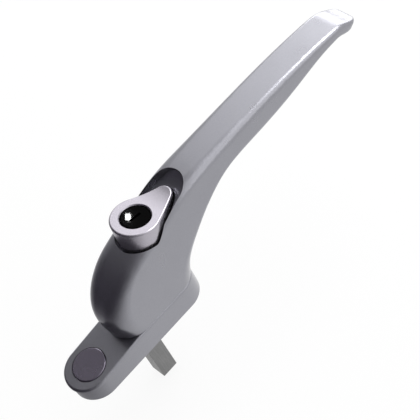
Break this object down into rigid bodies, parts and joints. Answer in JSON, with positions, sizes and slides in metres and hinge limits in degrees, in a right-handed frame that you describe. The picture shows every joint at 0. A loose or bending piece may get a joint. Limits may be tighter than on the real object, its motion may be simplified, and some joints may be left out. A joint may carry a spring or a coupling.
{
  "type": "locking window handle",
  "caption": "In-line swan-neck window handle: lever on a low round-ended base, drop-shaped keyed push button in its shoulder, square spindle behind",
  "frame": {"origin": "on the spindle axis, at the base's mounting face, midway between the two screw holes", "axes": "+Z out of the window through the hub, +Y along the arm to its tip, +X across the base"},
  "size_m": [0.0194, 0.1674, 0.0788],
  "materials": {
    "silver_paint": "satin silver-grey powder coat on die-cast zinc",
    "button_satin": "satin pale silver on die-cast zinc",
    "cap_plastic": "smooth dark grey",
    "plug_black": "gloss black",
    "steel": "bright zinc-plated steel",
    "nylon": "natural nylon",
    "brass": "plain brass"
  },
  "bodies": {
    "base": {"base_plate": "silver_paint", "screw_cap": "cap_plastic", "hub_bush": "nylon", "thrust_washer": "steel"},
    "lever_body": {"lever": "silver_paint", "spindle": "steel", "spindle_pin": "steel", "circlip": "steel", "disc_spring": "steel", "bolt_guide": "nylon", "lock_spring": "steel"},
    "button_body": {"lock_button": "button_satin", "lock_bolt": "steel", "bolt_pin": "steel", "plug_clip": "steel"},
    "key_body": {"key_plug": "plug_black", "wafers": "brass", "lock_cam": "brass"}
  },
  "joints": [
    {"name": "lever_turn", "type": "hinge", "parent": "base", "child": "lever_body", "pos_m": [0, 0, 0], "axis": [0, 0, 1], "range_deg": [-90, 90]},
    {"name": "button_press", "type": "slide", "parent": "lever_body", "child": "button_body", "axis": [0, -0.2164, -0.9763], "range_m": [0, 0.003], "stiffness_N_per_m": 800, "deforming": ["lock_spring"]},
    {"name": "key_turn", "type": "hinge", "parent": "button_body", "child": "key_body", "pos_m": [0, 0.0215, 0.0489], "axis": [0, 0.2164, 0.9763], "range_deg": [0, 90]}
  ]
}
